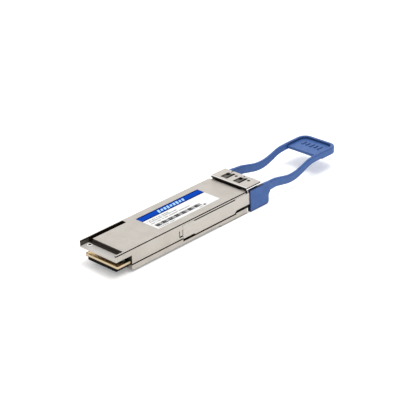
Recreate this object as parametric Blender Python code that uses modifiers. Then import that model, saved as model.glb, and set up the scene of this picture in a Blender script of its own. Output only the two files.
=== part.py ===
"""Pluggable optical transceiver module with two fibre ports and a pull tab.

Frame: +X points to the fibre ports and the pull tab, +Z is up. The origin is on the bottom face, on the centre
line, half way along the part that sits in a cage. Sizes below are millimetres, and the scene is in metres.
"""

import math

import bmesh
import bpy

MM = 0.001
GAP = 0.05  # clearance between neighbours

# Body
BACK_X = -25.5  # front edge of the hood over the card
NOTCH_X = -18.2  # where the side walls start
SHOULDER_X = 25.5  # where the body gets deeper, outside the cage
STEP_X = 39.2  # where the raised nose starts
SIDE_END_X = 40.35
NOSE_X = 46.9
CAP_BACK = 39.95
CAP_FRONT = 47.7
CAP_HALF = 8.98
CAP_TOP = 9.6
HALF_W = 9.175
TOP_Z = 8.5
DEEP_Z = -0.6
SEAM_Z = 2.35  # parting line of base and cover
HOOD_Z = 5.9
TRAY_Z = 6.45
WALL_Y = 7.9  # inner face of the side walls

# Card
CARD_Z = 2.4
CARD_T = 1.0
CARD_HALF = 8.21
CARD_FRONT = -24.2
CARD_END = 12.0
FINGERS = 19

# Latch
ARM_IN = 8.62
ARM_OUT = 9.12
ARM_FRONT = 6.75
ARM_TOP = 7.3
PORT_Y = 3.125
PORT_Z = 4.4
PORT_HALF = 2.35

# Springs
SPRING_Y = 7.45
SPRING_Z = 4.5
SPRING_START = 14.3
SPRING_END = 20.4
SPRING_R = 0.7
WIRE_R = 0.14

SCREWS = ((-13.0, 6.4, 0.0), (-13.0, -6.4, 0.0), (30.4, 6.6, DEEP_Z), (30.4, -6.6, DEEP_Z))


def clear_scene():
    for obj in list(bpy.data.objects):
        bpy.data.objects.remove(obj, do_unlink=True)
    for mesh in list(bpy.data.meshes):
        bpy.data.meshes.remove(mesh)


def new_collection(name, hidden):
    collection = bpy.data.collections.new(name)
    bpy.context.scene.collection.children.link(collection)
    collection.hide_render = hidden
    return collection


clear_scene()
PARTS = new_collection("optical_transceiver_module", False)
CUTTERS = new_collection("cutters", True)


def material(name, colour, metallic, roughness):
    made = bpy.data.materials.new(name)
    made.use_nodes = True
    shader = made.node_tree.nodes["Principled BSDF"]
    shader.inputs["Base Color"].default_value = (*colour, 1.0)
    shader.inputs["Metallic"].default_value = metallic
    shader.inputs["Roughness"].default_value = roughness
    return made


NICKEL = (0.62, 0.59, 0.55)
STEEL = (0.66, 0.64, 0.61)
GOLD = (0.83, 0.60, 0.25)
BLACK = (0.012, 0.012, 0.013)


def place(bm, name, look):
    """Turns the bmesh, in millimetres, into an object. A look of None makes it a helper."""
    bmesh.ops.recalc_face_normals(bm, faces=bm.faces)
    bmesh.ops.scale(bm, vec=(MM, MM, MM), verts=bm.verts)
    mesh = bpy.data.meshes.new(name)
    bm.to_mesh(mesh)
    bm.free()
    obj = bpy.data.objects.new(name, mesh)
    if look is None:
        CUTTERS.objects.link(obj)
        obj.hide_render = True
        obj.display_type = "WIRE"
    else:
        PARTS.objects.link(obj)
        obj.data.materials.append(material(name, *look))
    return obj


def add_box(bm, x, y, z):
    """A box between the given pairs."""
    corners = [bm.verts.new((i, j, k)) for i in sorted(x) for j in sorted(y) for k in sorted(z)]
    for face in ((0, 1, 3, 2), (4, 6, 7, 5), (0, 4, 5, 1), (2, 3, 7, 6), (0, 2, 6, 4), (1, 5, 7, 3)):
        bm.faces.new([corners[i] for i in face])


def add_prism(bm, outline, axis, low, high):
    """The outline, a list of pairs in the plane across the axis, carried from low to high."""
    ends = []
    for depth in (low, high):
        ring = []
        for u, v in outline:
            point = [u, v]
            point.insert(axis, depth)
            ring.append(bm.verts.new(point))
        ends.append(ring)
    count = len(outline)
    bm.faces.new(ends[0])
    bm.faces.new(ends[1])
    for i in range(count):
        j = (i + 1) % count
        bm.faces.new((ends[0][i], ends[0][j], ends[1][j], ends[1][i]))


def box(name, x, y, z, look=None):
    bm = bmesh.new()
    add_box(bm, x, y, z)
    return place(bm, name, look)


def prism(name, outline, axis, low, high, look=None):
    bm = bmesh.new()
    add_prism(bm, outline, axis, low, high)
    return place(bm, name, look)


def circle(centre, radius, count, start=0.0):
    turn = 2 * math.pi / count
    return [
        (centre[0] + radius * math.cos(start + turn * i), centre[1] + radius * math.sin(start + turn * i))
        for i in range(count)
    ]


def rod(name, axis, centre, radius, low, high, look=None, count=24):
    return prism(name, circle(centre, radius, count), axis, low, high, look)


def turned(name, profile, centre, look=None, count=32):
    """A turned piece along X: the profile is (x, radius) pairs round the section, with no point on the axis
    except the ends of a solid one. A tube gives a loop whose radii are all above zero."""
    bm = bmesh.new()
    rings = []
    for x, radius in profile:
        if radius <= 0:
            rings.append([bm.verts.new((x, centre[0], centre[1]))])
            continue
        points = circle(centre, radius, count)
        rings.append([bm.verts.new((x, y, z)) for y, z in points])
    pairs = list(zip(rings, rings[1:]))
    if len(rings[0]) > 1:
        pairs.append((rings[-1], rings[0]))
    for first, second in pairs:
        for i in range(count):
            j = (i + 1) % count
            corners = [first[i % len(first)], first[j % len(first)], second[j % len(second)], second[i % len(second)]]
            unique = list(dict.fromkeys(corners))
            if len(unique) > 2:
                bm.faces.new(unique)
    made = place(bm, name, look)
    smooth(made)
    return made


def smooth(obj):
    for face in obj.data.polygons:
        face.use_smooth = True
    obj.data.set_sharp_from_angle(angle=math.radians(35))


def boolean(target, helper, operation):
    modifier = target.modifiers.new(operation.lower() + "_" + helper.name, "BOOLEAN")
    modifier.operation = operation
    modifier.solver = "EXACT"
    modifier.object = helper


def cut(target, *helpers):
    for helper in helpers:
        boolean(target, helper, "DIFFERENCE")


def join(target, *helpers):
    for helper in helpers:
        boolean(target, helper, "UNION")


def bevel(obj, width, segments=1, angle=40):
    modifier = obj.modifiers.new("bevel", "BEVEL")
    modifier.width = width * MM
    modifier.segments = segments
    modifier.limit_method = "ANGLE"
    modifier.angle_limit = math.radians(angle)


def side_pair(low, high, side):
    return (low, high) if side > 0 else (-high, -low)


def both_sides(name, x, low, high, z):
    """One helper of two boxes, mirrored across the centre line."""
    bm = bmesh.new()
    add_box(bm, x, (low, high), z)
    add_box(bm, x, (-high, -low), z)
    return place(bm, name, None)


def edge_grooves(name, x, z):
    """One helper for a groove along both sides: deep on the near side, shallow beside the thin far wall."""
    bm = bmesh.new()
    add_box(bm, x, (-11.0, 0.42 - HALF_W), z)
    add_box(bm, x, (HALF_W - 0.2, 11.0), z)
    return place(bm, name, None)


def several(name, boxes):
    """One helper of several boxes that don't touch."""
    bm = bmesh.new()
    for x, y, z in boxes:
        add_box(bm, x, y, z)
    return place(bm, name, None)


def screw_rods(name, radius, spans):
    bm = bmesh.new()
    for (x, y, _), (low, high) in zip(SCREWS, spans):
        add_prism(bm, circle((x, y), radius, 20), 2, low, high)
    return place(bm, name, None)


def make_base_shell():
    outline = [
        (NOTCH_X, SEAM_Z),
        (NOTCH_X, 0.35),
        (NOTCH_X + 0.35, 0.0),
        (SHOULDER_X, 0.0),
        (SHOULDER_X, DEEP_Z),
        (SIDE_END_X - 0.3, DEEP_Z),
        (SIDE_END_X, DEEP_Z + 0.3),
        (SIDE_END_X, SEAM_Z),
    ]
    base = prism("base_shell", outline, 1, -HALF_W, HALF_W, (NICKEL, 1.0, 0.35))
    bevel(base, 0.15, 1, 60)
    nose_outline = [
        (38.4, DEEP_Z),
        (NOSE_X, DEEP_Z),
        (NOSE_X, 8.45),
        (STEP_X + GAP, 8.45),
        (STEP_X + GAP, 7.25),
        (38.4, 7.25),
    ]
    join(base, prism("base_nose", nose_outline, 1, -8.05, 8.05))
    cut(
        base,
        box("base_cavity", (-17.2, 38.3), (-7.15, 7.15), (0.8, 3.0)),
        box("base_pocket", (14.0, 38.3), (-WALL_Y, WALL_Y), (0.8, 3.0)),
        box("base_guard_seat", (-20.0, -14.5), (-7.05, 7.05), (0.95, 3.0)),
        box("base_port_bay", (38.2, 48.0), (-6.5, 6.5), (0.9, 9.0)),
        both_sides("base_seam_line", (-30.0, ARM_FRONT), HALF_W - 0.35, 11.0, (SEAM_Z - 0.2, 3.0)),
        both_sides("base_arm_recess", (ARM_FRONT - 0.15, 33.8), 8.57, 11.0, (1.3, 3.0)),
        both_sides("base_front_slot", (ARM_FRONT - 0.15, 12.3), 8.05, 11.0, (1.3, 3.0)),
        both_sides("base_rear_slot", (33.3, 41.0), 8.1, 11.0, (1.68, 3.0)),
    )
    join(base, screw_rods("base_posts", 1.3, ((0.5, 2.3), (0.5, 2.3), (0.5, 2.3), (0.5, 2.3))))
    cut(
        base,
        screw_rods("base_screw_holes", 0.68, ((-1.0, 3.0), (-1.0, 3.0), (-1.0, 3.0), (-1.0, 3.0))),
        screw_rods("base_screw_heads", 1.2, ((-1.0, 0.62), (-1.0, 0.62), (-1.0, 0.02), (-1.0, 0.02))),
    )
    return base


def make_cover_shell():
    low = SEAM_Z + GAP
    cover = box("cover_shell", (BACK_X, SIDE_END_X), (-HALF_W, HALF_W), (low, TOP_Z), (NICKEL, 1.0, 0.32))
    bevel(cover, 0.12, 2)
    cut(
        cover,
        box("cover_under_hood", (-30.0, NOTCH_X), (-11.0, 11.0), (0.0, HOOD_Z)),
        box("cover_card_mouth", (-19.0, -17.0), (-8.3, 8.3), (0.0, 3.9)),
        box("cover_cavity", (-17.2, 38.3), (-WALL_Y, WALL_Y), (0.0, 5.6)),
        box("cover_cavity_front", (-17.2, -4.3), (-6.1, 6.1), (5.5, 7.3)),
        box("cover_cavity_top", (-4.4, 38.3), (-WALL_Y, WALL_Y), (5.5, 7.3)),
        box("cover_port_bay", (38.2, 41.0), (-8.1, 8.1), (0.0, 7.3)),
        box("cover_step", (STEP_X, 41.0), (-11.0, 11.0), (7.2, 9.0)),
        box("cover_tray", (-30.0, -21.95), (-8.6, 8.8), (TRAY_Z, 9.0)),
        box("cover_tray_ledge", (-30.0, -21.6), (-8.6, 8.8), (7.35, 9.0)),
        box("cover_side_slot", (-22.5, -5.6), (6.6, 8.8), (TRAY_Z, 9.0)),
        rod("cover_tray_hole", 2, (-22.7, 7.1), 0.6, 5.0, 7.0, count=20),
        box("cover_label_seat", (-2.0, 29.4), (-5.9, 5.9), (8.41, 9.0)),
        edge_grooves("cover_edge_line", (-26.0, 41.0), (8.0, 8.37)),
        both_sides("cover_seam_line", (-30.0, ARM_FRONT), HALF_W - 0.35, 11.0, (0.0, SEAM_Z + 0.2)),
        both_sides("cover_arm_recess", (ARM_FRONT - 0.15, 41.0), 8.57, 11.0, (0.0, ARM_TOP + 0.15)),
        both_sides("cover_window", (4.7, 6.45), 9.06, 11.0, (3.2, 5.9)),
        both_sides("cover_window_left", (4.7, 5.2), 8.67, 11.0, (3.2, 5.75)),
        both_sides("cover_window_low", (4.7, 6.45), 8.67, 11.0, (3.2, 3.7)),
    )
    bosses = several(
        "cover_spring_bosses",
        [((13.0, 21.4), side_pair(5.75, 8.0, side), (3.75, 7.4)) for side in (1, -1)],
    )
    posts = screw_rods("cover_posts", 1.3, ((2.5, 5.8), (2.5, 5.8), (2.5, 7.5), (2.5, 7.5)))
    pedestal = box("cover_pedestal", (-10.0, 0.0), (-5.0, 5.0), (5.0, 7.4))
    join(cover, bosses, posts, pedestal)
    holes = screw_rods("cover_screw_holes", 0.6, ((2.0, 5.6), (2.0, 5.6), (2.0, 5.6), (2.0, 5.6)))
    channels = both_sides("cover_spring_channels", (13.6, 20.5), 6.6, 9.0, (3.6, 5.4))
    cut(cover, holes, channels)
    return cover


def make_nose_cap():
    cap = box("nose_cap", (CAP_BACK, CAP_FRONT), (-CAP_HALF, CAP_HALF), (8.55, CAP_TOP), (STEEL, 1.0, 0.33))
    bevel(cap, 0.14, 2)
    inner = CAP_HALF - 0.27
    cut(cap, box("cap_inside", (CAP_BACK + 0.35, 48.0), (-inner, inner), (8.0, CAP_TOP - 0.24)))
    cut(cap, both_sides("cap_edge_line", (39.0, 48.0), CAP_HALF - 0.18, 11.0, (9.08, 9.4)))
    windows = []
    for centre in (-PORT_Y, PORT_Y):
        windows.append(((41.3, 45.9), (centre - 0.95, centre + 2.35), (9.0, 10.5)))
        windows.append(((46.3, 48.0), (centre + 1.25, centre + 1.75), (9.0, 10.5)))
    cut(cap, several("cap_windows", windows))
    for index, centre in enumerate((-PORT_Y, PORT_Y)):
        cut(cap, rod("cap_hole_%d" % index, 2, (45.1, centre - 2.2), 0.52, 9.0, 10.5, count=16))
    legs = several(
        "cap_legs",
        [((43.7, 46.7), side_pair(6.7, 8.0, side), (8.45 + GAP, CAP_TOP - 0.05)) for side in (1, -1)],
    )
    join(cap, legs)
    for index, centre in enumerate((-PORT_Y, PORT_Y)):
        flap = [(41.5, 9.08), (45.9, 9.4), (46.1, 9.4), (46.1, 9.54), (45.8, 9.54), (41.5, 9.23)]
        tongue = prism("cap_flap_%d" % index, flap, 1, centre, centre + 2.55)
        cut(tongue, rod("cap_flap_hole_%d" % index, 2, (44.7, centre + 1.45), 0.72, 8.0, 10.5, count=20))
        join(cap, tongue)
    return cap


def make_lc_receptacle():
    outline = [(33.4, 0.95), (46.7, 0.95), (46.7, 8.4), (STEP_X + 0.1, 8.4), (STEP_X + 0.1, 7.2), (33.4, 7.2)]
    body = prism("lc_receptacle", outline, 1, -6.4, 6.4, (BLACK, 0.0, 0.45))
    cuts = []
    for index, centre in enumerate((-PORT_Y, PORT_Y)):
        low = PORT_Z - PORT_HALF
        high = PORT_Z + PORT_HALF
        cuts.append(box("port_bore_%d" % index, (36.8, 48.0), (centre - PORT_HALF, centre + PORT_HALF), (low, high)))
        cuts.append(box("port_latch_%d" % index, (41.0, 48.0), (centre - 1.3, centre + 1.3), (high - 0.2, 9.0)))
        wide = PORT_HALF + 0.25
        mouth = ((centre - wide, centre + wide), (PORT_Z - wide, PORT_Z + wide))
        cuts.append(box("port_mouth_%d" % index, (46.35, 48.0), *mouth))
        cuts.append(rod("port_barrel_hole_%d" % index, 0, (centre, PORT_Z), 1.55, 33.0, 37.5, count=32))
    cut(body, *cuts)
    return body


def make_optics():
    """The light source and the detector, each a sealed can with a barrel that reaches into its port."""
    for name, centre in (("transmit", PORT_Y), ("receive", -PORT_Y)):
        can = box(name + "_can", (20.6, 28.2), (centre - 2.3, centre + 2.3), (2.0, 6.8), (GOLD, 1.0, 0.3))
        bevel(can, 0.25, 2)
        profile = [
            (28.25, 2.1),
            (29.2, 2.1),
            (29.2, 1.7),
            (32.6, 1.7),
            (32.6, 1.45),
            (40.9, 1.45),
            (41.1, 1.3),
            (41.1, 0.85),
            (35.0, 0.85),
            (35.0, 0.4),
            (28.25, 0.4),
        ]
        turned(name + "_barrel", profile, (centre, PORT_Z), (STEEL, 1.0, 0.28))
        sleeve = [(35.1, 0.8), (40.8, 0.8), (40.8, 0.64), (35.1, 0.64)]
        turned(name + "_sleeve", sleeve, (centre, PORT_Z), ((0.85, 0.84, 0.8), 0.0, 0.25), count=24)
        flex = [
            (11.3, CARD_Z + CARD_T + GAP),
            (13.2, CARD_Z + CARD_T + GAP),
            (15.2, 4.9),
            (19.6, 5.2),
            (20.5, 5.2),
            (20.5, 5.34),
            (19.6, 5.34),
            (15.1, 5.04),
            (13.1, CARD_Z + CARD_T + GAP + 0.14),
            (11.3, CARD_Z + CARD_T + GAP + 0.14),
        ]
        prism(name + "_flex", flex, 1, centre - 1.9, centre + 1.9, ((0.42, 0.2, 0.03), 0.0, 0.35))
    clamp = box("optics_clamp", (29.35, 32.4), (-5.6, 5.6), (0.85, 4.4 + 0.3), (STEEL, 1.0, 0.4))
    notches = []
    for index, centre in enumerate((-PORT_Y, PORT_Y)):
        notches.append(rod("clamp_notch_%d" % index, 0, (centre, PORT_Z), 1.78, 29.0, 33.0, count=32))
        notches.append(box("clamp_mouth_%d" % index, (29.0, 33.0), (centre - 1.78, centre + 1.78), (4.4, 6.0)))
    cut(clamp, *notches)
    cut(clamp, both_sides("clamp_post_room", (28.9, 31.9), 5.2, 6.0, (0.0, 6.0)))


def make_card():
    top = CARD_Z + CARD_T
    outline = [
        (CARD_FRONT, -CARD_HALF + 0.3),
        (CARD_FRONT + 0.3, -CARD_HALF),
        (-17.4, -CARD_HALF),
        (-17.1, -7.8),
        (-14.6, -7.8),
        (-14.6, -4.9),
        (-11.4, -4.9),
        (-11.4, -7.8),
        (CARD_END, -7.8),
    ]
    outline += [(x, -y) for x, y in reversed(outline)]
    card = prism("circuit_card", outline, 2, CARD_Z, top, ((0.02, 0.09, 0.035), 0.0, 0.4))
    pitch = 0.8
    width = 0.5
    for name, low, high in (
        ("upper_contacts", top, top + 0.04),
        ("lower_contacts", CARD_Z - 0.04, CARD_Z),
    ):
        bm = bmesh.new()
        shift = GAP * 0.2 if name == "upper_contacts" else -GAP * 0.2
        edge = []
        for i in range(FINGERS):
            y = (i - (FINGERS - 1) / 2) * pitch
            tip = CARD_FRONT + (0.35 if i % 4 == 0 else 0.75)
            edge += [(-19.8, y - width / 2), (tip, y - width / 2), (tip, y + width / 2), (-19.8, y + width / 2)]
        comb = [(-19.4, 7.6), (-19.4, -7.6), (-19.8, -7.6)] + edge + [(-19.8, 7.6)]
        add_prism(bm, comb, 2, low + shift, high + shift)
        place(bm, name, (GOLD, 1.0, 0.3))
    return card


def make_card_parts():
    top = CARD_Z + CARD_T + 0.01
    black_chip = ((0.02, 0.02, 0.022), 0.0, 0.5)
    chips = (
        ("signal_chip", (-9.0, -1.0), (-4.0, 4.0), 1.0),
        ("laser_driver_chip", (3.2, 6.6), (1.4, 4.8), 0.8),
        ("amplifier_chip", (3.2, 6.6), (-4.8, -1.4), 0.8),
        ("control_chip", (-16.2, -12.2), (-2.0, 2.0), 0.8),
    )
    for name, x, y, height in chips:
        bevel(box(name, x, y, (top, top + height), black_chip), 0.12)
    bevel(box("clock_crystal", (8.2, 10.7), (-1.0, 1.0), (top, top + 0.7), (STEEL, 1.0, 0.3)), 0.15, 2)
    bevel(box("power_coil_front", (1.0, 3.0), (5.4, 7.4), (top, top + 1.1), ((0.1, 0.1, 0.1), 0.0, 0.6)), 0.2)
    bevel(box("power_coil_rear", (1.0, 3.0), (-7.4, -5.4), (top, top + 1.1), ((0.1, 0.1, 0.1), 0.0, 0.6)), 0.2)
    pad = (-9.4, -0.6)
    box("thermal_pad", pad, (-4.4, 4.4), (top + 1.03, 4.95), ((0.32, 0.42, 0.5), 0.0, 0.8))
    box("ceiling_absorber", (22.0, 27.0), (-5.2, 5.2), (6.9, 7.25), ((0.03, 0.03, 0.03), 0.0, 0.9))


def make_small_parts():
    prism(
        "card_guard",
        [(-24.0, 1.15), (-23.85, 1.0), (-14.6, 1.0), (-14.6, 2.3), (-23.85, 2.3), (-24.0, 2.15)],
        1,
        -7.0,
        7.0,
        (BLACK, 0.0, 0.4),
    )
    box("label", (-1.95, 29.35), (-5.85, 5.85), (8.415, 8.49), ((0.9, 0.9, 0.9), 0.0, 0.45))
    for side, name in ((1, "left_gasket"), (-1, "right_gasket")):
        box(name, (22.0, 28.6), side_pair(7.25, 7.8, side), (0.85, 2.3), ((0.2, 0.2, 0.2), 0.0, 0.85))


def make_screws():
    for number, (x, y, bottom) in enumerate(SCREWS, 1):
        low = bottom + 0.08
        bm = bmesh.new()
        rings = [
            (1.1, low),
            (1.1, low + 0.45),
            (0.5, low + 0.45),
            (0.5, 5.3),
        ]
        stack = [[bm.verts.new((u, v, z)) for u, v in circle((x, y), r, 20)] for r, z in rings]
        bm.faces.new(stack[0])
        bm.faces.new(stack[-1])
        for first, second in zip(stack, stack[1:]):
            for i in range(20):
                j = (i + 1) % 20
                bm.faces.new((first[i], first[j], second[j], second[i]))
        screw = place(bm, "cover_screw_%d" % number, (STEEL, 1.0, 0.3))
        smooth(screw)
        cross = box("screw_slot_%d" % number, (x - 0.7, x + 0.7), (y - 0.14, y + 0.14), (low - 0.5, low + 0.25))
        other = box("screw_cross_%d" % number, (x - 0.14, x + 0.14), (y - 0.7, y + 0.7), (low - 0.5, low + 0.25))
        cut(screw, cross, other)


def arm_outline():
    return [
        (ARM_FRONT, 2.2),
        (12.2, 2.2),
        (12.6, 1.78),
        (33.2, 1.78),
        (34.2, 2.75),
        (44.5, 2.75),
        (44.5, 6.9),
        (41.1, 6.9),
        (41.1, 8.6),
        (40.5, 8.6),
        (40.5, ARM_TOP + 0.1),
        (33.8, ARM_TOP + 0.1),
        (33.6, ARM_TOP - 0.25),
        (12.5, ARM_TOP - 0.25),
        (12.3, ARM_TOP + 0.1),
        (ARM_FRONT, ARM_TOP + 0.1),
    ]


def make_latch_slider():
    slider = prism("latch_slider", arm_outline(), 1, ARM_IN, ARM_OUT, (STEEL, 1.0, 0.3))
    twin = prism("slider_far_arm", arm_outline(), 1, -ARM_OUT, -ARM_IN)
    bridge = box("slider_bridge", (40.5, 41.1), (-8.66, 8.66), (8.52, 8.78))
    ears = several("slider_ears", [((13.75, 14.15), side_pair(6.9, 8.8, side), (3.8, 5.2)) for side in (1, -1)])
    trim = both_sides("slider_riser_trim", (40.4, 41.2), 8.85, 10.0, (7.46, 9.5))
    crown = both_sides("slider_crown_trim", (40.4, 41.2), 8.66, 10.0, (8.5, 9.5))
    cut(slider, trim, crown)
    cut(twin, trim, crown)
    join(slider, bridge, twin, ears)
    return slider


def curve_value(points, x):
    """The value at x of a smooth curve through the points, flat past both ends."""
    if x <= points[0][0]:
        return points[0][1]
    for i in range(len(points) - 1):
        (x0, y0), (x1, y1) = points[i], points[i + 1]
        if x > x1:
            continue
        before = points[max(i - 1, 0)]
        after = points[min(i + 2, len(points) - 1)]
        start = (y1 - before[1]) / (x1 - before[0]) * (x1 - x0)
        end = (after[1] - y0) / (after[0] - x0) * (x1 - x0)
        t = (x - x0) / (x1 - x0)
        a = 2 * t**3 - 3 * t**2 + 1
        b = t**3 - 2 * t**2 + t
        c = 3 * t**2 - 2 * t**3
        d = t**3 - t**2
        return a * y0 + b * start + c * y1 + d * end
    return points[-1][1]


TAB_SIDE_X = (41.35, 51.4)
TAB_OUT = ((41.0, 9.45), (50.0, 9.42), (60.0, 9.1), (72.0, 8.65), (93.0, 8.65))
TAB_LOW = (
    (52.0, 4.1),
    (56.0, 4.25),
    (60.0, 3.5),
    (64.0, 2.8),
    (68.0, 2.9),
    (72.0, 4.0),
    (76.0, 5.45),
    (80.0, 5.9),
    (93.0, 5.8),
)
TAB_HIGH = (
    (50.0, 8.0),
    (56.0, 7.7),
    (60.0, 6.85),
    (64.0, 6.05),
    (68.0, 6.05),
    (72.0, 6.9),
    (76.0, 8.1),
    (80.0, 8.45),
    (93.0, 8.45),
)
TAB_ARM_T = 1.3
PAD_START = 81.0
PAD_END = 92.6
PAD_LOW = 6.5
PAD_TOP = 7.6
TAB_CORNER = 3.6


def tab_arm(bm, side):
    """One arm: a strip that stands on edge, swept along X from the side plate into the end loop."""
    rings = []
    steps = 44
    for i in range(steps + 1):
        x = 49.5 + (PAD_END - TAB_CORNER - 49.5) * i / steps
        out = curve_value(TAB_OUT, x)
        low = curve_value(TAB_LOW, x)
        high = curve_value(TAB_HIGH, x)
        soft = 0.28
        section = [
            (out, low + soft),
            (out, high - soft),
            (out - soft, high),
            (out - TAB_ARM_T + soft, high),
            (out - TAB_ARM_T, high - soft),
            (out - TAB_ARM_T, low + soft),
            (out - TAB_ARM_T + soft, low),
            (out - soft, low),
        ]
        rings.append([bm.verts.new((x, side * y, z)) for y, z in section])
    bm.faces.new(rings[0])
    bm.faces.new(rings[-1])
    for first, second in zip(rings, rings[1:]):
        for i in range(8):
            j = (i + 1) % 8
            bm.faces.new((first[i], first[j], second[j], second[i]))


def rounded(x0, x1, y0, y1, radius, count=5):
    """A rectangle with round corners on its high-X side."""
    points = [(x0, y0)]
    for cx, cy, start in ((x1 - radius, y0 + radius, -90), (x1 - radius, y1 - radius, 0)):
        for i in range(count + 1):
            angle = math.radians(start + 90 * i / count)
            points.append((cx + radius * math.cos(angle), cy + radius * math.sin(angle)))
    points.append((x0, y1))
    return points


def side_plate_outline():
    low, high = TAB_SIDE_X
    points = [(low, 7.9), (low, -0.45), (low + 0.15, -0.6), (high - 1.3, -0.6)]
    for i in range(1, 6):
        angle = math.radians(-90 + 90 * i / 5)
        points.append((high - 1.3 + 1.3 * math.cos(angle), 0.7 + 1.3 * math.sin(angle)))
    points += [(high, 2.5), (high + 0.25, 3.3), (high + 0.9, 3.95), (high + 1.0, 7.9), (50.0, 8.05), (41.5, 8.05)]
    return points


def make_pull_tab():
    blue = ((0.07, 0.15, 0.42), 0.0, 0.45)
    half = TAB_OUT[-1][1]
    tab = prism("pull_tab", rounded(PAD_START, PAD_END, -half, half, TAB_CORNER), 2, PAD_LOW, TAB_HIGH[-1][1], blue)
    bevel(tab, 0.3, 2, 60)
    rim = prism("tab_rim", rounded(PAD_START + 2.0, PAD_END, -half, half, TAB_CORNER), 2, TAB_LOW[-1][1], 7.0)
    under = rounded(PAD_START - 3.0, PAD_END - 1.3, -half + 1.3, half - 1.3, TAB_CORNER - 1.1)
    cut(rim, prism("tab_under", under, 2, 0.0, PAD_LOW))
    join(tab, rim)
    cut(tab, prism("tab_recess", under, 2, PAD_TOP, 12.0))
    for side, name in ((1, "left"), (-1, "right")):
        bm = bmesh.new()
        tab_arm(bm, side)
        arm = place(bm, "tab_arm_" + name, None)
        plate = prism("tab_plate_" + name, side_plate_outline(), 1, *side_pair(8.2, 9.5, side))
        bevel(plate, 0.2, 2, 60)
        join(tab, arm, plate)
    pocket = both_sides("tab_arm_pocket", (40.0, 44.6), ARM_IN - GAP, ARM_OUT + GAP, (2.4, 6.95))
    cut(tab, pocket)
    return tab


def make_spring(name, side):
    """A wire coil along X, with its two ends closed up."""
    turns = 8.5
    count = 170
    length = SPRING_END - SPRING_START - 2 * WIRE_R
    data = bpy.data.curves.new(name, "CURVE")
    data.dimensions = "3D"
    spline = data.splines.new("POLY")
    spline.points.add(count)
    for i in range(count + 1):
        t = i / count
        angle = 2 * math.pi * turns * t
        x = SPRING_START + WIRE_R + length * t
        y = side * (SPRING_Y + 0.05) + SPRING_R * math.cos(angle)
        z = SPRING_Z + SPRING_R * math.sin(angle)
        spline.points[i].co = (x * MM, y * MM, z * MM, 1.0)
    data.bevel_depth = WIRE_R * MM
    data.bevel_resolution = 1
    data.use_fill_caps = True
    spring = bpy.data.objects.new(name, data)
    PARTS.objects.link(spring)
    spring.data.materials.append(material(name, STEEL, 1.0, 0.25))
    return spring


make_base_shell()
make_cover_shell()
make_nose_cap()
make_lc_receptacle()
make_optics()
make_card()
make_card_parts()
make_small_parts()
make_screws()
make_latch_slider()
make_pull_tab()
make_spring("left_return_spring", 1)
make_spring("right_return_spring", -1)
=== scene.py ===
"""Looks of the optical transceiver module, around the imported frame.

Frame: +X toward the fibre ports and the pull tab, +Z up. Lengths are millimetres, and MM turns them into
metres; the stage, the lights and the camera are in metres.
"""

import math
import random

import bmesh
import bpy
from mathutils import Matrix, Vector


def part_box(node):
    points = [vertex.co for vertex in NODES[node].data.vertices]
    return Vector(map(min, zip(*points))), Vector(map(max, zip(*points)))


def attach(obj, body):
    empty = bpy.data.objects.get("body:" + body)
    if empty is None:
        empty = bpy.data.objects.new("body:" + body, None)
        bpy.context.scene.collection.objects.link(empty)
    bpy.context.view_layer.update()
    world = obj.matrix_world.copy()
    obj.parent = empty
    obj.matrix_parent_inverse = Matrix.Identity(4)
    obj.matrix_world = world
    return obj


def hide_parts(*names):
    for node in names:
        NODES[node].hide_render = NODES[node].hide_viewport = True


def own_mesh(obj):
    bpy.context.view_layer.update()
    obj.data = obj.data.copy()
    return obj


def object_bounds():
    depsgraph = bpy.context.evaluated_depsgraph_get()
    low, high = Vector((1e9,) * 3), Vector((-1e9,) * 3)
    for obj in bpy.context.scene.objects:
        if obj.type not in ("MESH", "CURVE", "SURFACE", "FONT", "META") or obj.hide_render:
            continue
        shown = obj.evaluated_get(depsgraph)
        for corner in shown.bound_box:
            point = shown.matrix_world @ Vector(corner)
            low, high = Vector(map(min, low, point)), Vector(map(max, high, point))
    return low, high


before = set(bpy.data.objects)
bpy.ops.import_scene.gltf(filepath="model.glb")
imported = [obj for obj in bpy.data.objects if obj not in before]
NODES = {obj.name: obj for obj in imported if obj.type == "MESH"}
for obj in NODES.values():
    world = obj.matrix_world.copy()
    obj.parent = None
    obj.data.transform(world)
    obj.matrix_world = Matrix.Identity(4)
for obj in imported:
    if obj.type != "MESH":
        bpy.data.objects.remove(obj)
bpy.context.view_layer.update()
MM = 0.001
MODULE = "module"
LATCH = "latch"


# ---------------------------------------------------------------- node materials


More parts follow.
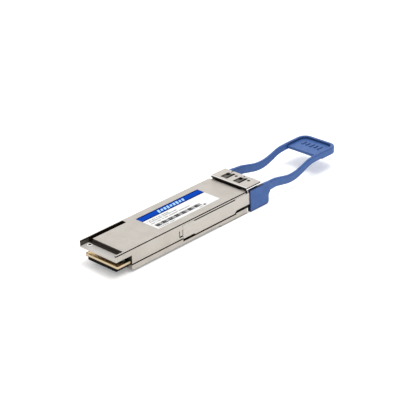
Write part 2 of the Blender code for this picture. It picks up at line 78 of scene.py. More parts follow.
class Graph:
    """A small helper that builds one node material in object coordinates, scaled to millimetres."""

    COLOUR_INPUTS = (6, 7)
    COLOUR_OUTPUT = 2
    BEVEL_SAMPLES = 4
    SHELTER_SAMPLES = 8
    EDGE_COSINE = 0.9

    def __init__(self, name):
        self.material = bpy.data.materials.new(name)
        self.material.use_nodes = True
        self.tree = self.material.node_tree
        self.shader = self.tree.nodes["Principled BSDF"]
        self.rounded = None
        self.measures = {}
        coordinates = self.tree.nodes.new("ShaderNodeTexCoord")
        self.point = self.scaled(coordinates.outputs["Object"], (1 / MM, 1 / MM, 1 / MM))

    def set(self, **values):
        for key, value in values.items():
            self.shader.inputs[key.replace("_", " ")].default_value = value

    def link(self, output, key):
        self.tree.links.new(output, self.shader.inputs[key])

    def scaled(self, vector, scale):
        node = self.tree.nodes.new("ShaderNodeMapping")
        node.inputs["Scale"].default_value = scale
        self.tree.links.new(vector, node.inputs["Vector"])
        return node.outputs["Vector"]

    def noise(self, scale, detail=3.0, stretch=None, rough=0.55):
        node = self.tree.nodes.new("ShaderNodeTexNoise")
        node.inputs["Scale"].default_value = scale
        node.inputs["Detail"].default_value = detail
        node.inputs["Roughness"].default_value = rough
        source = self.scaled(self.point, stretch) if stretch else self.point
        self.tree.links.new(source, node.inputs["Vector"])
        return node.outputs["Fac"]

    def ramp(self, fac, first, second, start=0.3, end=0.7):
        """The first colour up to the start, the second from the end on, and a blend between them."""
        node = self.tree.nodes.new("ShaderNodeValToRGB")
        for element, place, colour in zip(node.color_ramp.elements, (start, end), (first, second)):
            element.position = place
            element.color = (*colour, 1.0)
        self.tree.links.new(fac, node.inputs["Fac"])
        return node.outputs["Color"]

    def range(self, fac, low, high, start=0.3, end=0.7):
        """The low value at the start, the high value at the end, and no further."""
        node = self.tree.nodes.new("ShaderNodeMapRange")
        node.inputs["From Min"].default_value = start
        node.inputs["From Max"].default_value = end
        node.inputs["To Min"].default_value = low
        node.inputs["To Max"].default_value = high
        self.tree.links.new(fac, node.inputs["Value"])
        return node.outputs["Result"]

    def mix(self, fac, first, second, blend="MIX"):
        """Each of the three may be a socket or a plain value."""
        node = self.tree.nodes.new("ShaderNodeMix")
        node.data_type = "RGBA"
        node.blend_type = blend
        for value, key in zip((fac, first, second), ("Factor", *self.COLOUR_INPUTS)):
            socket = node.inputs[key]
            if isinstance(value, bpy.types.NodeSocket):
                self.tree.links.new(value, socket)
            elif key == "Factor":
                socket.default_value = value
            else:
                socket.default_value = (*value, 1.0)
        return node.outputs[self.COLOUR_OUTPUT]

    def math(self, operation, *values):
        node = self.tree.nodes.new("ShaderNodeMath")
        node.operation = operation
        for socket, value in zip(node.inputs, values):
            if isinstance(value, bpy.types.NodeSocket):
                self.tree.links.new(value, socket)
            else:
                socket.default_value = value
        return node.outputs[0]

    def edge(self, radius):
        """1 at sharp outer edges, 0 on flats: the difference between the rounded and the true normal."""
        bevel = self.tree.nodes.new("ShaderNodeBevel")
        bevel.samples = self.BEVEL_SAMPLES
        bevel.inputs["Radius"].default_value = radius * MM
        geometry = self.tree.nodes.new("ShaderNodeNewGeometry")
        dot = self.tree.nodes.new("ShaderNodeVectorMath")
        dot.operation = "DOT_PRODUCT"
        self.tree.links.new(bevel.outputs["Normal"], dot.inputs[0])
        self.tree.links.new(geometry.outputs["Normal"], dot.inputs[1])
        self.rounded = bevel.outputs["Normal"]
        return self.range(dot.outputs["Value"], low=1.0, high=0.0, start=self.EDGE_COSINE, end=1.0)

    def shelter(self, reach):
        """0 deep in gaps and recesses, 1 on open surfaces."""
        node = self.tree.nodes.new("ShaderNodeAmbientOcclusion")
        node.samples = self.SHELTER_SAMPLES
        node.inputs["Distance"].default_value = reach * MM
        return node.outputs["AO"]

    def bump(self, height, depth, strength):
        """Adds the relief to the rounded normal, so edge() comes before it."""
        node = self.tree.nodes.new("ShaderNodeBump")
        node.inputs["Distance"].default_value = depth * MM
        node.inputs["Strength"].default_value = strength
        self.tree.links.new(height, node.inputs["Height"])
        self.tree.links.new(self.rounded, node.inputs["Normal"])
        self.link(node.outputs["Normal"], "Normal")

    def axis(self, output, name):
        node = self.tree.nodes.new("ShaderNodeSeparateXYZ")
        self.tree.links.new(output, node.inputs["Vector"])
        return node.outputs[name]

    def measure(self, name):
        """A number at each point of the surface, made once for each name.

        X, Y and Z are places in millimetres, and side is the distance from the centre plane. normal_X and
        normal_Z are parts of the true normal, and level is the size of normal_Z.
        """
        if name not in self.measures:
            if name == "side":
                value = self.math("ABSOLUTE", self.measure("Y"))
            elif name == "level":
                value = self.math("ABSOLUTE", self.measure("normal_Z"))
            elif name.startswith("normal_"):
                geometry = self.tree.nodes.new("ShaderNodeNewGeometry")
                value = self.axis(geometry.outputs["Normal"], name[-1])
            else:
                value = self.axis(self.point, name)
            self.measures[name] = value
        return self.measures[name]

    def inside(self, **ranges):
        """1 where each named measure lies between its two limits, else 0. None leaves that end open."""
        tests = []
        for name, (low, high) in ranges.items():
            if low is not None:
                tests.append(self.math("GREATER_THAN", self.measure(name), low))
            if high is not None:
                tests.append(self.math("LESS_THAN", self.measure(name), high))
        return self.every(*tests)

    def near_axis(self, centre, limit):
        """1 nearer than the limit to a vertical axis at the X and Y of the centre."""
        away_x = self.math("SUBTRACT", self.measure("X"), centre[0])
        away_y = self.math("SUBTRACT", self.measure("Y"), centre[1])
        squares = (self.math("MULTIPLY", away, away) for away in (away_x, away_y))
        return self.math("LESS_THAN", self.math("ADD", *squares), limit * limit)

    def every(self, *masks):
        """1 where all masks are 1."""
        found = masks[0]
        for mask in masks[1:]:
            found = self.math("MULTIPLY", found, mask)
        return found

    def either(self, *masks):
        """The strongest of the masks."""
        found = masks[0]
        for mask in masks[1:]:
            found = self.math("MAXIMUM", found, mask)
        return found

    def faint(self, mask, strength):
        return self.math("MULTIPLY", mask, strength)

    def opposite(self, mask):
        return self.math("SUBTRACT", 1.0, mask)


# ---------------------------------------------------------------- where shade and highlights are painted, and the label's keylines


PORT_Y = 3.125
TRAY_HOLE = (-22.7, 7.1)
# Grooves in the side faces lie between these distances from the centre plane.
SIDE_SKIN = (8.5, 9.2)
# Limits of a part of the normal, for faces that look along -X and faces that lie flat.
TOWARD_CARD = (None, -0.5)
LYING = (0.7, None)


def body_recesses(g):
    """Painted shade: 1 in the parting lines, the latch recess, the side window and the hood's slot and step.
    """
    edge_line = g.inside(side=SIDE_SKIN, Z=(7.94, 8.41))
    seam = g.inside(side=SIDE_SKIN, X=(-18.0, 6.8), Z=(2.08, 2.62))
    below_arm = g.inside(side=SIDE_SKIN, X=(6.5, 33.9), Z=(1.22, 1.65))
    behind_tab = g.inside(side=(SIDE_SKIN[0], 9.13), X=(33.2, 40.2), Z=(1.66, 2.8))
    above_arm = g.inside(side=SIDE_SKIN, X=(6.5, 40.2), Z=(7.0, 7.5))
    window_left = g.inside(side=(8.6, 9.0), X=(4.6, 5.25), Z=(3.1, 5.8))
    window_low = g.inside(side=(8.6, 9.0), X=(4.6, 6.5), Z=(3.1, 3.72))
    slot = g.inside(Y=(6.55, 8.85), X=(-21.55, -5.5), Z=(6.3, 8.42))
    hole = g.every(g.near_axis(TRAY_HOLE, 0.75), g.inside(Z=(5.8, 6.42)))
    full = g.either(edge_line, seam, below_arm, behind_tab, above_arm, window_left, window_low, slot, hole)

    step = g.inside(X=(-22.1, -21.5), Z=(6.52, 8.42), normal_X=TOWARD_CARD)
    ledge = g.inside(X=(-22.0, -21.5), Z=(7.3, 7.4))
    notch = g.inside(X=(-18.3, -17.9), Z=(1.9, 5.95), normal_X=TOWARD_CARD)
    far_wall = g.inside(Y=(8.7, 9.0), X=(-25.6, -21.5), Z=(6.4, 8.42))
    return g.either(full, g.faint(g.either(step, ledge, notch), 0.9), g.faint(far_wall, 0.72))


def body_highlights(g):
    """Two masks: a painted highlight on the corner beside the latch and the tray hole's rim, and the tray
    floor.
    """
    corner = g.inside(side=(9.1, None), X=(39.8, 40.4))
    floor = g.inside(X=(-25.4, -21.96), Z=(6.40, 6.50), normal_Z=LYING)
    rim = g.every(g.near_axis(TRAY_HOLE, 1.0), floor)
    return g.either(corner, rim), floor


def cap_recesses(g):
    """Painted shade: 1 in the cap's windows, holes and side crease, less on the bent tongues and rear wall.
    """
    inner_side, inner_x = (None, 8.75), (40.1, None)
    walls = g.inside(side=inner_side, X=inner_x, Z=(None, 9.54), normal_Z=(None, 0.7))
    tongue = g.inside(side=inner_side, X=inner_x, Z=(9.0, 9.53))
    crease = g.inside(side=(8.7, 9.1), Z=(9.03, 9.43))
    rear = g.inside(X=(None, 40.05), Z=(None, 9.36), normal_X=TOWARD_CARD)
    marks = [walls, g.faint(tongue, 0.86), crease, g.faint(rear, 0.9)]
    for port in (-PORT_Y, PORT_Y):
        marks.append(g.near_axis((44.7, port + 1.45), 0.95))
        marks.append(g.near_axis((45.1, port - 2.2), 0.62))
        marks.append(g.inside(Y=(port - 1.05, port + 0.12), X=(41.2, 46.2), Z=(8.9, None)))
    return g.either(*marks)


def cap_highlights(g):
    """Painted highlight: 1 on the folded skirts at the cap's sides and on its rear rim."""
    skirt = g.inside(side=(8.93, None), Z=(None, 9.03))
    rim = g.inside(X=(None, 40.2), Z=(9.36, None))
    return g.either(skirt, rim)


def arm_edges(g):
    """Painted shade: 1 on the upper and lower edges of the latch arms, which sit deep in their recess."""
    flat = g.inside(level=(0.6, None))
    lips = [g.inside(X=(12.5, 33.6), Z=limits) for limits in ((None, 1.68), (6.98, None))]
    return g.every(g.either(flat, *lips), g.inside(side=(8.5, None), X=(None, 40.3)))


def plate_shadow(g):
    """1 on the rear and upper faces of the tab's side plates, which the body and the cap keep dark."""
    rear = g.inside(X=(None, 41.7), normal_X=TOWARD_CARD)
    upper = g.inside(X=(None, 49.0), Z=(7.8, None), normal_Z=(0.4, None))
    return g.either(rear, upper)


def band_edges(g):
    """1 on the darker keylines along the two long edges of the label's band."""
    return g.either(g.inside(Y=(None, 2.75)), g.inside(Y=(5.25, None)))


# ---------------------------------------------------------------- surfaces


# The colour of painted shade in gaps, grooves and recesses.
PAINTED_SHADE = (0.030, 0.021, 0.016)
# The tray floor is matte; the second colour is a painted highlight on the rim of its hole.
TRAY_FLOOR = (0.50, 0.475, 0.45)
RIM_HIGHLIGHT = (0.9, 0.88, 0.86)


def plated_metal(name, dark, light, rough, edge_light):
    """Plated die casting: soft cloudy colour, fine blasted grain, bright worn edges with a painted highlight,
    and dull recesses with painted shade.
    """
    g = Graph(name)
    grain = g.noise(scale=9.0, detail=2.0, rough=0.6)
    colour = g.ramp(g.noise(scale=0.16, detail=4.0), dark, light, start=0.35, end=0.65)
    speck = g.ramp(grain, (0.86, 0.86, 0.86), (1.0, 1.0, 1.0), start=0.38, end=0.62)
    colour = g.mix(1.0, colour, speck, "MULTIPLY")
    # The first mask is a painted highlight on the corner beside the latch and on the rim of the tray's hole.
    painted_glint, floor = body_highlights(g)
    # Bright edges: worn plating, with a painted highlight on them.
    edge_tint = g.every(g.edge(radius=0.12), g.range(g.noise(scale=1.3), low=0.45, high=1.0))
    colour = g.mix(g.either(edge_tint, painted_glint), colour, edge_light)
    # Painted shade in gaps, grooves and recesses, though not on the tray floor.
    exposed = g.range(g.shelter(reach=1.6), low=0.0, high=1.0, start=0.42, end=0.78)
    exposed = g.every(g.either(exposed, floor), g.opposite(body_recesses(g)))
    colour = g.mix(exposed, PAINTED_SHADE, colour)
    # The matte tray floor, with the painted highlight on the rim of its hole.
    colour = g.mix(g.every(floor, exposed), colour, g.mix(painted_glint, TRAY_FLOOR, RIM_HIGHLIGHT))
    g.link(colour, "Base Color")
    g.link(g.opposite(g.either(floor, painted_glint)), "Metallic")
    worn = g.range(g.noise(scale=2.2), low=rough - 0.05, high=rough + 0.07)
    dull = g.range(exposed, low=0.35, high=0.0, start=0.0, end=1.0)
    g.link(g.math("ADD", worn, dull), "Roughness")
    g.bump(grain, depth=0.006, strength=0.6)
    return g.material


def sheet_steel(name, dark, light, rough, stretch=(0.15, 3.0, 3.0), recesses=None, highlights=None):
    """Stamped sheet with faint rolling lines and painted shade; the painted highlights are a mask and its
    colour.
    """
    g = Graph(name)
    lines = g.noise(scale=2.5, stretch=stretch)
    colour = g.ramp(lines, dark, light)
    edge = g.edge(radius=0.08)
    if highlights:
        mask, bright = highlights
        colour = g.mix(g.either(edge, mask(g)), colour, bright)
    # Painted shade in the hollows and in the places the recesses mask marks.
    exposed = g.range(g.shelter(reach=1.0), low=0.0, high=1.0, start=0.35, end=0.75)
    colour = g.mix(exposed, PAINTED_SHADE, colour)
    if recesses:
        colour = g.mix(recesses(g), colour, PAINTED_SHADE)
    g.link(colour, "Base Color")
    g.set(Metallic=1.0)
    g.link(g.range(g.noise(scale=1.5, detail=4.0), low=rough - 0.06, high=rough + 0.08), "Roughness")
    g.bump(lines, depth=0.003, strength=0.5)
    return g.material


def moulded(
    name, dark, light, rough, depth=0.012, rounding=0.15, gloss=0.5, edge_tint=None, shade=None, marks=None
):
    """Moulded, printed or fired skin, with painted shade on its edges and in its hollows; marks take the
    shade colour.
    """
    g = Graph(name)
    grain = g.noise(scale=6.0, detail=2.0)
    colour = g.ramp(g.noise(scale=0.5), dark, light)
    edge = g.edge(rounding)
    # Darker edges, as painted shade.
    if edge_tint:
        colour = g.mix(g.faint(edge, 0.8), colour, edge_tint)
    if shade:
        exposed = g.range(g.shelter(reach=1.2), low=0.0, high=1.0, start=0.35, end=0.85)
        colour = g.mix(exposed, shade, colour)
    if marks:
        colour = g.mix(marks(g), colour, shade)
    g.set(Specular_IOR_Level=gloss)
    g.link(colour, "Base Color")
    g.link(g.range(g.noise(scale=1.8, detail=2.0), low=rough - 0.05, high=rough + 0.06), "Roughness")
    g.bump(grain, depth=depth, strength=0.5)
    return g.material


def card_skin(name):
    """Circuit card: dark mask behind, bare brown laminate between the contacts, cut plies on its edges with
    painted shade low down.
    """
    g = Graph(name)
    flat = g.inside(level=LYING)
    mask = g.ramp(g.noise(scale=0.6), (0.006, 0.018, 0.008), (0.010, 0.030, 0.013))
    bare = g.ramp(g.noise(scale=2.0), (0.26, 0.14, 0.05), (0.36, 0.21, 0.09))
    plies = g.ramp(g.noise(scale=3.0, stretch=(0.3, 0.3, 4.0)), (0.66, 0.50, 0.29), (0.84, 0.70, 0.46))
    # Painted shade on the lowest part of the cut edges, just above the guard.
    above_guard = g.range(g.measure("Z"), low=0.0, high=1.0, start=2.48, end=2.72)
    plies = g.mix(above_guard, (0.05, 0.03, 0.018), plies)
    face = g.mix(g.inside(X=(None, -21.25)), mask, bare)
    g.link(g.mix(flat, plies, face), "Base Color")
    g.link(g.range(flat, low=0.6, high=0.35, start=0.0, end=1.0), "Roughness")
    g.edge(radius=0.05)
    g.bump(g.noise(scale=5.0), depth=0.01, strength=0.4)
    return g.material


LOOKS = {
    "housing": plated_metal("housing", (0.49, 0.455, 0.41), (0.54, 0.505, 0.46), 0.36, (0.93, 0.91, 0.88)),
    "steel": sheet_steel("steel", (0.47, 0.44, 0.40), (0.56, 0.525, 0.48), 0.34, recesses=arm_edges),
    "cap": sheet_steel(
        "cap",
        (0.46, 0.43, 0.39),
        (0.54, 0.50, 0.46),
        0.33,
        stretch=(3.0, 0.15, 3.0),
        recesses=cap_recesses,
        highlights=(cap_highlights, (0.95, 0.94, 0.92)),
    ),
    "bright": sheet_steel("bright", (0.6, 0.58, 0.56), (0.75, 0.73, 0.7), 0.2),
    "gold": sheet_steel("gold", (0.75, 0.50, 0.20), (0.9, 0.66, 0.32), 0.28),
    "blue": moulded(
        "blue",
        (0.028, 0.089, 0.285),
        (0.038, 0.112, 0.335),
        0.45,
        rounding=0.34,
        gloss=0.35,
        # Painted shade on the tab's edges.
        edge_tint=(0.010, 0.026, 0.12),
        shade=(0.006, 0.012, 0.05),
        marks=plate_shadow,
    ),
    "black": moulded("black", (0.003, 0.003, 0.0035), (0.006, 0.006, 0.007), 0.6, gloss=0.06),
    "chip": moulded("chip", (0.012, 0.012, 0.013), (0.022, 0.022, 0.024), 0.5),
    "ceramic": moulded("ceramic", (0.78, 0.77, 0.74), (0.84, 0.83, 0.8), 0.2, depth=0.002),
    "ceramic_tan": moulded("ceramic_tan", (0.35, 0.22, 0.12), (0.42, 0.28, 0.16), 0.5, depth=0.002),
    "trace": moulded("trace", (0.02, 0.06, 0.025), (0.03, 0.08, 0.035), 0.35, depth=0.002),
    "film": moulded("film", (0.36, 0.16, 0.02), (0.46, 0.22, 0.04), 0.35, depth=0.004),
    "soft": moulded("soft", (0.22, 0.27, 0.32), (0.3, 0.35, 0.4), 0.8),
    "board": card_skin("board"),
    "paper": moulded("paper", (0.72, 0.72, 0.71), (0.78, 0.78, 0.77), 0.4, depth=0.004, rounding=0.03),
    "ink": moulded(
        "ink", (0.02, 0.02, 0.022), (0.035, 0.035, 0.037), 0.7, depth=0.002, rounding=0.01, gloss=0.1
    ),
    "pale_ink": moulded("pale_ink", (0.30, 0.52, 0.86), (0.36, 0.60, 0.92), 0.6, depth=0.002, gloss=0.2),
    "fine_ink": moulded(
        "fine_ink", (0.2, 0.2, 0.21), (0.28, 0.28, 0.29), 0.7, depth=0.002, rounding=0.01, gloss=0.1
    ),
    "label_blue": moulded(
        "label_blue",
        (0.0, 0.045, 0.37),
        (0.0, 0.058, 0.44),
        0.7,
        depth=0.003,
        rounding=0.01,
        gloss=0.02,
        shade=(0.0, 0.010, 0.09),
        marks=band_edges,
    ),
}
NODE_LOOKS = {
    "housing": ("base_shell", "cover_shell"),
    "steel": ("latch_slider", "optics_clamp", "left_return_spring", "right_return_spring"),
    "cap": ("nose_cap",),
    "bright": (
        "cover_screw_1",
        "cover_screw_2",
        "cover_screw_3",
        "cover_screw_4",
        "transmit_barrel",
        "receive_barrel",
        "clock_crystal",
    ),
    "gold": ("upper_contacts", "lower_contacts", "transmit_can", "receive_can"),
    "blue": ("pull_tab",),
    "black": ("lc_receptacle", "card_guard"),
    "chip": (
        "signal_chip",
        "laser_driver_chip",
        "amplifier_chip",
        "control_chip",
        "power_coil_front",
        "power_coil_rear",
    ),
    "ceramic": ("transmit_sleeve", "receive_sleeve"),
    "film": ("transmit_flex", "receive_flex"),
    "soft": ("thermal_pad", "ceiling_absorber", "left_gasket", "right_gasket"),
    "board": ("circuit_card",),
    "paper": ("label",),
}


def dress_nodes():
    for look, names in NODE_LOOKS.items():
        for name in names:
            materials = NODES[name].data.materials
            materials.clear()
            materials.append(LOOKS[look])


# ---------------------------------------------------------------- pieces


def piece(name, bm, look, body):
    """Turns the bmesh, in millimetres, into a piece that rides on the body."""
    bmesh.ops.recalc_face_normals(bm, faces=bm.faces)
    bmesh.ops.scale(bm, vec=(MM, MM, MM), verts=bm.verts)
    mesh = bpy.data.meshes.new(name)
    bm.to_mesh(mesh)
    bm.free()
    obj = bpy.data.objects.new(name, mesh)
    bpy.context.scene.collection.objects.link(obj)
    obj.data.materials.append(LOOKS[look])
    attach(obj, body)
    return obj


def add_prism(bm, first, second):
    """A closed body between two rings of points in the same order."""
    rings = [[bm.verts.new(point) for point in ring] for ring in (first, second)]
    for ring in rings:
        bm.faces.new(ring)
    for i in range(len(first)):
        j = (i + 1) % len(first)
        bm.faces.new((rings[0][i], rings[0][j], rings[1][j], rings[1][i]))


def add_slab(bm, outline, low, high):
    """A closed slab over the XY outline."""
    add_prism(bm, *([(x, y, z) for x, y in outline] for z in (low, high)))


def rounded(x0, x1, y0, y1, radius, steps=4, corners=(1, 1, 1, 1)):
    """A rectangle whose corners, from low X low Y and round by high X, are round where asked."""
    sharp = ((x0, y0), (x1, y0), (x1, y1), (x0, y1))
    inward = ((1, 1), (-1, 1), (-1, -1), (1, -1))
    points = []
    for i, ((x, y), (toward_x, toward_y)) in enumerate(zip(sharp, inward)):
        if not corners[i]:
            points.append((x, y))
            continue
        centre_x, centre_y = x + toward_x * radius, y + toward_y * radius
        for k in range(steps + 1):
            angle = math.radians(180 + 90 * i + 90 * k / steps)
            points.append((centre_x + radius * math.cos(angle), centre_y + radius * math.sin(angle)))
    return points


FILM = 0.006
INK = 0.004
LABEL_CORNER = 0.5
LABEL_THICKNESS = 0.06
BAND_WIDTH = 3.7
BAND_INSET = 0.02
MARK_COUNT = 9
MARK_START = 7.3
MARK_PITCH = 1.52
MARK_WIDTH = 1.0
MARK_LEAN = 0.35
MARK_HALF_HEIGHTS = (1.0, 0.72, 0.88)
MARK_BELOW_EDGE = 1.95
# Each row of small marks: its start and end along X, its middle along Y and its height.
ROWS = (
    (-1.0, 9.6, 1.0, 0.6),
    (-1.0, 12.8, 0.0, 0.6),
    (-1.0, 17.6, -1.3, 0.6),
    (-1.0, 6.8, -5.2, 0.5),
    (19.4, 21.4, -5.2, 0.5),
)
DASH_WIDTHS = (0.22, 0.4)
DASH_GAP = 0.13
DASH_MISSING = 0.14
DASH_CORNER = 0.06
BARS_X = (-0.8, 21.2)
BARS_Y = (-4.45, -2.55)
BAR_CORNER = 0.03
THICK_BARS, THICK_GAPS = (0.85, 0.7, 0.3), (0.06, 0.08)
THIN_BARS, THIN_GAPS = (0.18, 0.3, 0.18), (0.14, 0.2)
SQUARE = (21.9, 22.9, -5.2, -4.3)
SQUARE_CORNER = 0.05


def make_label():
    """A printed film: a blue band with a plain mark along one edge, rows of small marks and a bar code."""
    low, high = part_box("label")
    x0, x1 = low.x / MM, high.x / MM
    y0, y1 = low.y / MM, high.y / MM
    top = high.z / MM
    bm = bmesh.new()
    add_slab(bm, rounded(x0, x1, y0, y1, LABEL_CORNER), top - LABEL_THICKNESS, top)
    film = piece("label_sheet", bm, "paper", MODULE)
    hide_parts("label")

    bm = bmesh.new()
    band_x = (x0 + BAND_INSET, x1 - BAND_INSET)
    band = rounded(*band_x, y1 - BAND_WIDTH, y1 - BAND_INSET, LABEL_CORNER, corners=(0, 0, 1, 1))
    add_slab(bm, band, top, top + FILM)
    piece("label_band", bm, "label_blue", MODULE)

    bm = bmesh.new()
    middle = y1 - MARK_BELOW_EDGE
    for i in range(MARK_COUNT):
        left = MARK_START + i * MARK_PITCH
        right = left + MARK_WIDTH
        half = MARK_HALF_HEIGHTS[i % len(MARK_HALF_HEIGHTS)]
        outline = [
            (left - MARK_LEAN, middle - half),
            (right - MARK_LEAN, middle - half),
            (right + MARK_LEAN, middle + half),
            (left + MARK_LEAN, middle + half),
        ]
        add_slab(bm, outline, top + FILM, top + FILM + INK)
    piece("label_mark", bm, "pale_ink", MODULE)

    bm = bmesh.new()
    chance = random.Random(7)
    for left, right, y, height in ROWS:
        x = left
        while x < right:
            width = chance.uniform(*DASH_WIDTHS)
            if chance.random() > DASH_MISSING:
                dash = rounded(x, x + width, y - height / 2, y + height / 2, DASH_CORNER, steps=2)
                add_slab(bm, dash, top, top + INK)
            x += width + DASH_GAP
    piece("label_rows", bm, "fine_ink", MODULE)

    bm = bmesh.new()
    x = BARS_X[0]
    thick = True
    while x < BARS_X[1]:
        widths, gaps = (THICK_BARS, THICK_GAPS) if thick else (THIN_BARS, THIN_GAPS)
        for width in widths:
            add_slab(bm, rounded(x, x + width, *BARS_Y, BAR_CORNER, steps=1), top, top + INK)
            x += width + chance.choice(gaps)
        thick = not thick
    add_slab(bm, rounded(*SQUARE, SQUARE_CORNER, steps=1), top, top + INK)
    piece("label_print", bm, "ink", MODULE)


PAD_COUNT = 19
PAD_PITCH = 0.8
PAD_HALF = 0.3
PAD_CORNER = 0.12
PAD_END = 2.9
PAD_RISE = 0.035
LONG_PAD_TIP = 0.3
SHORT_PAD_TIP = 0.75
TRACE_START = 2.95
TRACE_END_X = -18.4
TRACE_HALF = 0.09
TRACE_GATHER = 0.96
TRACE_RISE = PAD_RISE * 0.4


def make_contacts():
    """Two rows of separate gold pads, one on each face of the card, with their traces."""
    low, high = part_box("circuit_card")
    front = low.x / MM
    pads = bmesh.new()
    traces = bmesh.new()
    for face, outward in ((high.z / MM, 1), (low.z / MM, -1)):
        for i in range(PAD_COUNT):
            y = (i - PAD_COUNT // 2) * PAD_PITCH
            tip = front + (LONG_PAD_TIP if i % 3 == 0 else SHORT_PAD_TIP)
            pad = rounded(tip, front + PAD_END, y - PAD_HALF, y + PAD_HALF, PAD_CORNER, steps=3)
            add_slab(pads, pad, *sorted((face, face + outward * PAD_RISE)))
            trace = [
                (front + TRACE_START, y - TRACE_HALF),
                (TRACE_END_X, y * TRACE_GATHER - TRACE_HALF),
                (TRACE_END_X, y * TRACE_GATHER + TRACE_HALF),
                (front + TRACE_START, y + TRACE_HALF),
            ]
            add_slab(traces, trace, *sorted((face, face + outward * TRACE_RISE)))
    gold_pads = piece("contact_pads", pads, "gold", MODULE)
    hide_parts("upper_contacts", "lower_contacts")
    piece("card_traces", traces, "trace", MODULE)


CAPACITOR_COUNT = 8
CAPACITOR_START_Y = -6.4
CAPACITOR_PITCH = 1.83
CAPACITOR_CORNER = 0.05
CAPACITOR_BODY_X = (-19.95, -19.35)
CAPACITOR_BODY_HALF = 0.26
CAPACITOR_BODY_HEIGHTS = (0.02, 0.3)
CAPACITOR_ENDS_X = (-20.15, -19.34)
CAPACITOR_END_LENGTH = 0.19
CAPACITOR_END_HALF = 0.27
CAPACITOR_END_HEIGHTS = (0.015, 0.31)


def make_capacitors():
    """A row of small capacitors across the card, each a ceramic body with two metal ends."""
    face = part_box("circuit_card")[1].z / MM
    bodies = bmesh.new()
    ends = bmesh.new()
    for i in range(CAPACITOR_COUNT):
        y = CAPACITOR_START_Y + i * CAPACITOR_PITCH
        across = (y - CAPACITOR_BODY_HALF, y + CAPACITOR_BODY_HALF)
        body = rounded(*CAPACITOR_BODY_X, *across, CAPACITOR_CORNER, steps=2)
        add_slab(bodies, body, *(face + height for height in CAPACITOR_BODY_HEIGHTS))
        across = (y - CAPACITOR_END_HALF, y + CAPACITOR_END_HALF)
        for x in CAPACITOR_ENDS_X:
            end = rounded(x, x + CAPACITOR_END_LENGTH, *across, CAPACITOR_CORNER, steps=2)
            add_slab(ends, end, *(face + height for height in CAPACITOR_END_HEIGHTS))
    piece("capacitor_bodies", bodies, "ceramic_tan", MODULE)
    piece("capacitor_ends", ends, "bright", MODULE)


LINING_X = (43.4, 47.5)
LINING_HALF_WIDTH = 6.35
LINING_FLOOR = (8.46, 8.54)
LIP_BACK = 47.3
LIP_TOP = 9.34


def make_cap_lining():
    """A black dust seal under the cap: a floor below the windows and a lip that closes the open end."""
    back, front = LINING_X
    low, high = LINING_FLOOR
    lip = ((front, LIP_TOP), (LIP_BACK, LIP_TOP))
    profile = ((back, low), (front, low), *lip, (LIP_BACK, high), (back, high))
    bm = bmesh.new()
    add_prism(bm, *([(x, y, z) for x, z in profile] for y in (-LINING_HALF_WIDTH, LINING_HALF_WIDTH)))
    piece("cap_lining", bm, "black", MODULE)


WIRE = 0.13
WIRE_SIDES = 6
COIL_TURNS = 8.5
COIL_STEPS = 24


def make_return_coil(name, node):
    """A coil spring along X, with its fixed end near the ports."""
    low, high = (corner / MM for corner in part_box(node))
    centre_y = (low.y + high.y) / 2
    centre_z = (low.z + high.z) / 2
    radius = (high.z - low.z) / 2 - WIRE
    start = low.x + WIRE
    length = high.x - low.x - 2 * WIRE
    count = round(COIL_TURNS * COIL_STEPS)
    bm = bmesh.new()
    rings = []
    for i in range(count + 1):
        turn = 2 * math.pi * i / COIL_STEPS
        ring = []
        for k in range(WIRE_SIDES):
            around = 2 * math.pi * k / WIRE_SIDES
            reach = radius + WIRE * math.cos(around)
            x = start + length * i / count + WIRE * math.sin(around)
            y = centre_y + reach * math.cos(turn)
            z = centre_z + reach * math.sin(turn)
            ring.append(bm.verts.new((x, y, z)))
        rings.append(ring)
    bm.faces.new(rings[0])
    bm.faces.new(rings[-1])
    for first, second in zip(rings, rings[1:]):
        for k in range(WIRE_SIDES):
            j = (k + 1) % WIRE_SIDES
            bm.faces.new((first[k], first[j], second[j], second[k]))
    coil = piece(name, bm, "steel", MODULE)
    for face in coil.data.polygons:
        face.use_smooth = len(face.vertices) == 4
    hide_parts(node)
    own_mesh(coil)


RIB_COUNT = 5
RIB_PITCH = 2.0
RIB_MIDDLE_X = 87.2
RIB_HALF_WIDTH = 0.42
RIB_CORNER = 0.4
RIB_SOFTNESS = 0.1
RIB_SINK = 0.05
RIB_RISE = 0.28
LONG_RIB_HALF = 1.5
SHORT_RIB_HALF = 1.25
PAD_FACE_Z = 7.6


def make_pad_ribs():
    """Raised grip ribs on the finger pad, long and short in turn."""
    bm = bmesh.new()
    for i in range(RIB_COUNT):
        y = (i - RIB_COUNT // 2) * RIB_PITCH
        half = SHORT_RIB_HALF if i % 2 else LONG_RIB_HALF
        along = (RIB_MIDDLE_X - half, RIB_MIDDLE_X + half)
        rib = rounded(*along, y - RIB_HALF_WIDTH, y + RIB_HALF_WIDTH, RIB_CORNER, steps=5)
        add_slab(bm, rib, PAD_FACE_Z - RIB_SINK, PAD_FACE_Z + RIB_RISE)
    ribs = piece("pad_ribs", bm, "blue", LATCH)
    modifier = ribs.modifiers.new("soft_edges", "BEVEL")
    modifier.width = RIB_SOFTNESS * MM
    modifier.segments = 2
    modifier.limit_method = "ANGLE"


# ---------------------------------------------------------------- stage, lights and camera


FLOOR_HALF = 12.0
FLOOR_GLOW = 0.25
FOCAL_LENGTH = 137.04
CAMERA_PLACE = (-0.32402, -0.351336, 0.249881)
CAMERA_AZIMUTH = math.radians(-44.793)
CAMERA_ELEVATION = math.radians(26.063)
CAMERA_ROLL = math.radians(-2.554)


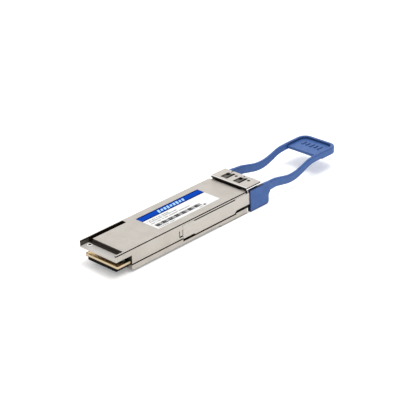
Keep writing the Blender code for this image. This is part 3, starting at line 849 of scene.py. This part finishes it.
def make_floor():
    """A pale floor whose faint glow keeps the shadows soft."""
    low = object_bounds()[0][2]
    corners = [(x * FLOOR_HALF, y * FLOOR_HALF, low) for x, y in ((-1, -1), (1, -1), (1, 1), (-1, 1))]
    mesh = bpy.data.meshes.new("floor")
    mesh.from_pydata(corners, [], [(0, 1, 2, 3)])
    floor = bpy.data.objects.new("floor", mesh)
    bpy.context.scene.collection.objects.link(floor)
    g = Graph("floor")
    g.link(g.ramp(g.noise(scale=0.01, detail=2.0), (0.88, 0.88, 0.88), (0.9, 0.9, 0.9)), "Base Color")
    g.set(Roughness=0.6, Emission_Color=(1.0, 1.0, 1.0, 1.0), Emission_Strength=FLOOR_GLOW)
    floor.data.materials.append(g.material)


def area_light(name, place, target, size, power):
    data = bpy.data.lights.new(name, "AREA")
    data.shape = "RECTANGLE"
    data.size, data.size_y = size
    data.energy = power
    light = bpy.data.objects.new(name, data)
    light.location = place
    direction = Vector(target) - Vector(place)
    light.rotation_euler = direction.to_track_quat("-Z", "Y").to_euler()
    bpy.context.scene.collection.objects.link(light)


def make_lights():
    """White surroundings, a key light high above the pull tab and a wide panel on the far side."""
    world = bpy.data.worlds.new("studio")
    world.use_nodes = True
    background = world.node_tree.nodes["Background"]
    background.inputs["Color"].default_value = (1.0, 1.0, 1.0, 1.0)
    background.inputs["Strength"].default_value = 0.7
    bpy.context.scene.world = world
    bpy.context.scene.view_settings.view_transform = "Standard"
    area_light("key", place=(0.10, -0.09, 0.62), target=(0.03, 0, 0), size=(0.34, 0.34), power=2.4)
    area_light("back_panel", place=(0.95, 0.95, 0.6), target=(0, 0, 0.05), size=(1.8, 1.1), power=4.0)


def make_camera():
    data = bpy.data.cameras.new("camera")
    data.sensor_width = 36.0
    data.lens = FOCAL_LENGTH
    data.clip_start = 0.01
    camera = bpy.data.objects.new("camera", data)
    level = math.cos(CAMERA_ELEVATION)
    back = Vector(
        (math.sin(CAMERA_AZIMUTH) * level, -math.cos(CAMERA_AZIMUTH) * level, math.sin(CAMERA_ELEVATION))
    )
    right = Vector((math.cos(CAMERA_AZIMUTH), math.sin(CAMERA_AZIMUTH), 0.0))
    up = back.cross(right)
    turned_right = right * math.cos(CAMERA_ROLL) + up * math.sin(CAMERA_ROLL)
    turned_up = up * math.cos(CAMERA_ROLL) - right * math.sin(CAMERA_ROLL)
    matrix = Matrix((turned_right, turned_up, back)).transposed().to_4x4()
    matrix.translation = Vector(CAMERA_PLACE)
    camera.matrix_world = matrix
    bpy.context.scene.collection.objects.link(camera)
    bpy.context.scene.camera = camera


dress_nodes()
make_label()
make_contacts()
make_capacitors()
make_cap_lining()
make_return_coil("left_return_coil", "left_return_spring")
make_return_coil("right_return_coil", "right_return_spring")
make_pad_ribs()
make_floor()
make_lights()
make_camera()
